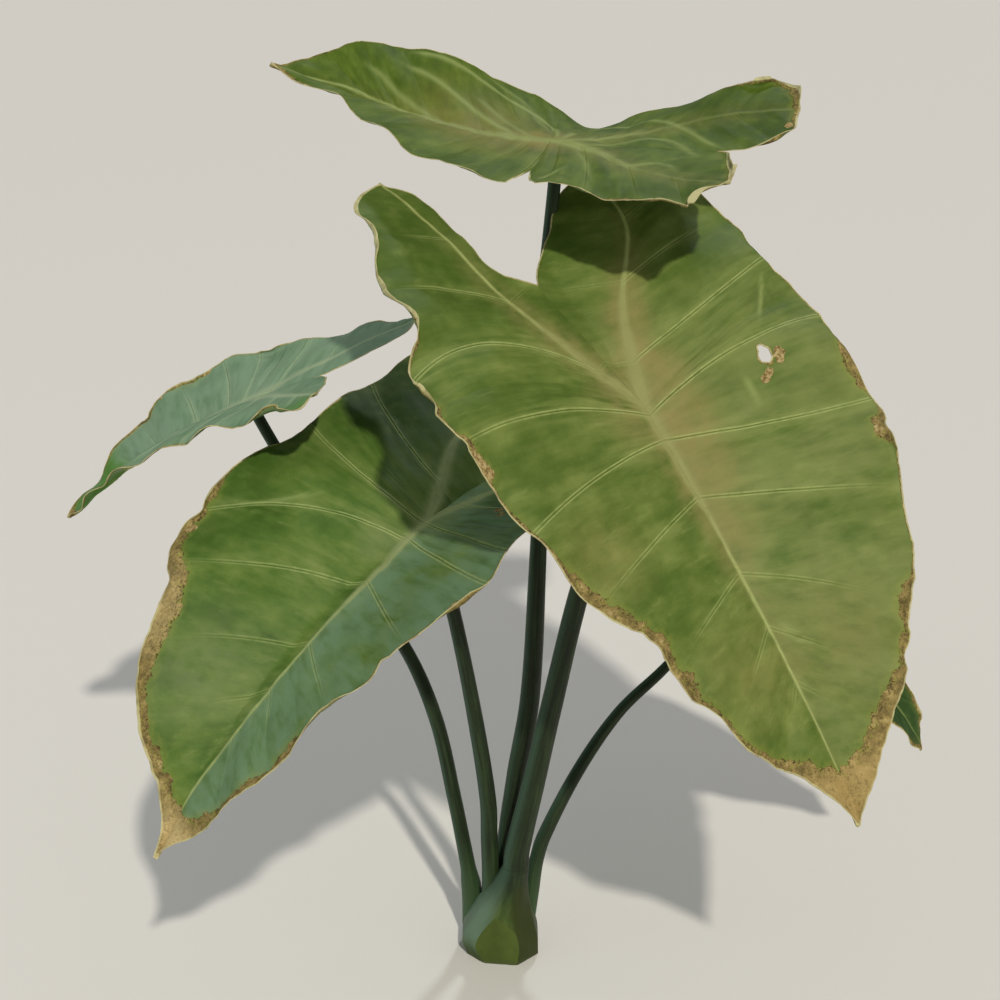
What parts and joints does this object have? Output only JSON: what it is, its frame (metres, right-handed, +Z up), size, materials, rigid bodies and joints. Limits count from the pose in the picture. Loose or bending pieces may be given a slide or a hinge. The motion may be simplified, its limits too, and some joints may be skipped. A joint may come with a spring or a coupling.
{
  "type": "elephant ear taro",
  "caption": "Leafy aroid with large heart-shaped drooping blades on long arching petioles that rise from a swollen base cut flat; waved margins, raised ribs and veins underneath.",
  "frame": {"origin": "middle of the flat cut under the base, where the plant rests", "axes": "+Z up; -Y toward the viewer of the picture; the largest blade points to the right and forward"},
  "size_m": [0.6514, 0.3811, 0.665],
  "materials": {
    "base": "matte",
    "petiole": "satin",
    "blade": "satin"
  },
  "bodies": {
    "root": {"base": "base", "petiole_front_right": "petiole", "leaf_front_right": "blade", "petiole_front_left": "petiole", "leaf_front_left": "blade", "petiole_top": "petiole", "leaf_top": "blade", "petiole_back_left": "petiole", "leaf_back_left": "blade", "petiole_back_right": "petiole", "leaf_back_right": "blade"}
  },
  "joints": []
}
